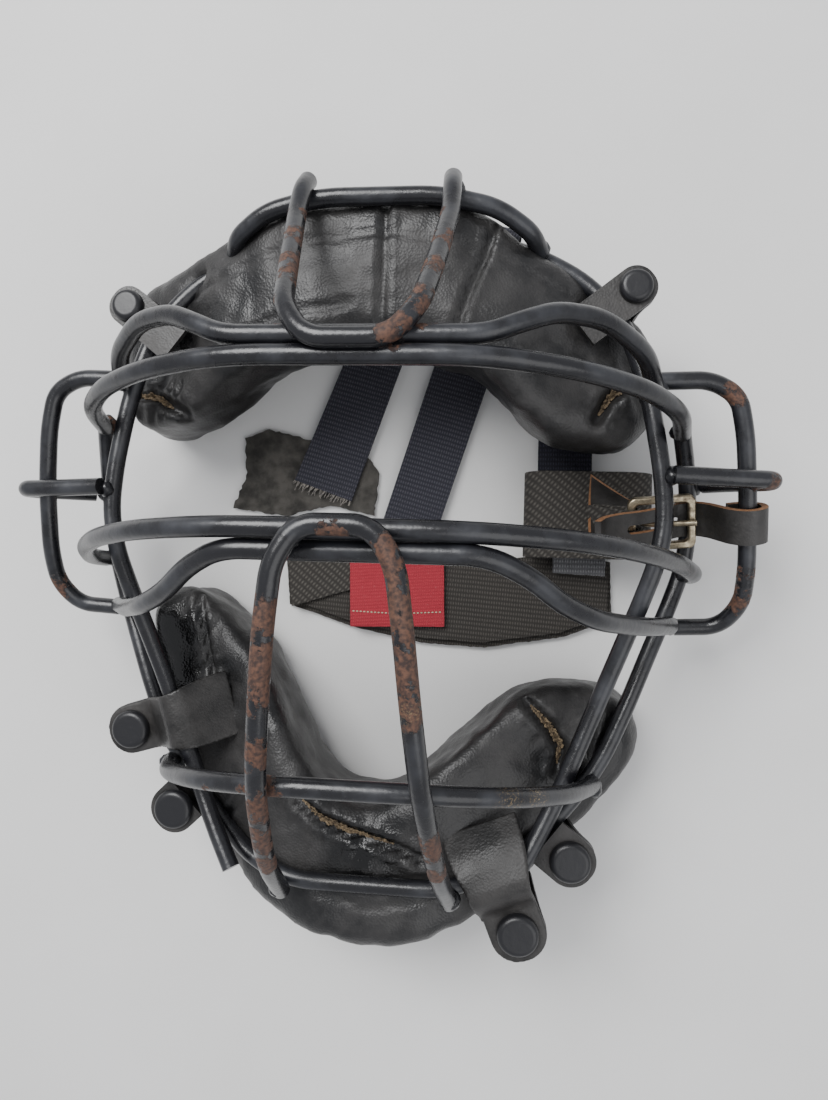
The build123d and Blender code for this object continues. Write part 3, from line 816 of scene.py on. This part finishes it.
# %% Curled leather end
CURL_X, CURL_LENGTH, CURL_Z = 80, 21, 29.2
SIDE_RISE, TIP_RISE = 5.5, 3.5
columns, rows_count = 18, 14
curl = bmesh.new()
net = []
for column in range(columns + 1):
    along = column / columns
    x = CURL_X + CURL_LENGTH * along
    half = 13.0 - 6.0 * along
    middle_y = 26.5 - 6.0 * along
    line = []
    for row in range(rows_count + 1):
        across = row / rows_count * 2 - 1
        rise = SIDE_RISE * (1 - along) * abs(across) ** 2.4 + TIP_RISE * (1 - along) ** 3
        line.append(curl.verts.new(mm(x, middle_y + half * across, CURL_Z + rise)))
    net.append(line)
for first, second in zip(net, net[1:]):
    for row in range(rows_count):
        curl.faces.new((first[row], second[row], second[row + 1], first[row + 1]))
curled = built(curl, "buckle_leather_end")
solid = curled.modifiers.new("thickness", "SOLIDIFY")
solid.thickness = 1.7 * MM
solid.offset = 1
solid.use_rim = True
curled.data.materials.append(strap_finish)
curled.data.materials.append(edge_finish)
solid.material_offset_rim = 1
settle(curled)
bpy.ops.object.shade_smooth_by_angle(angle=math.radians(40))
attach(curled, "head_band")
print("curled end:", len(curled.data.polygons), "faces")

# %% [markdown]
# The mask lies on a pale, matt table top in soft daylight.  One wide lamp high on the left
# gives the shine along the wires.  A weaker one on the right and a bright, even surround
# fill the shadows.

# %% Table and light
bpy.ops.mesh.primitive_plane_add(size=4.0, location=(0, 0, -0.0004))
table = bpy.context.active_object
table.name = "table_top"
table_finish, tree, shader, place = new_finish("pale_table")
cloud = ramp(tree, noise(tree, place, 9, 4), 0.3, 0.7)
tree.links.new(blend_colour(tree, cloud, (0.75, 0.745, 0.73), (0.80, 0.795, 0.785)),
               shader.inputs["Base Color"])
shader.inputs["Roughness"].default_value = 0.75
table.data.materials.append(table_finish)
world = bpy.data.worlds.new("soft room")
world.use_nodes = True
world.node_tree.nodes["Background"].inputs["Color"].default_value = (0.93, 0.95, 1.0, 1)
world.node_tree.nodes["Background"].inputs["Strength"].default_value = 0.64
bpy.context.scene.world = world
for name, spot, size, power in (("window light", (-0.45, 0.6, 1.1), 0.7, 19.0),
                                ("fill light", (0.8, -0.5, 1.2), 1.2, 7.0)):
    bpy.ops.object.light_add(type="AREA", location=spot)
    lamp = bpy.context.active_object
    lamp.name = name
    lamp.data.size = size
    lamp.data.energy = power
    aim = Vector((0, 0, 0.03)) - Vector(spot)
    lamp.rotation_euler = aim.to_track_quat("-Z", "Y").to_euler()
print("table and two lamps placed")

# %% [markdown]
# The camera looks almost straight down from 35 cm, a little to the right of the middle, so
# the front of the cage looms larger than the pads on the table.

# %% Camera
bpy.ops.object.camera_add(location=(0.0468, 0.0080, 0.3533))
camera = bpy.context.active_object
lean = Matrix.Rotation(math.radians(6.37), 3, "Y") @ Matrix.Rotation(math.radians(1.57), 3, "Z")
camera.rotation_euler = lean.to_euler()
camera.data.lens = 26.02
camera.data.sensor_width = 36.0
camera.data.clip_start = 0.01
bpy.context.scene.camera = camera
print("camera", [round(v, 3) for v in camera.location])
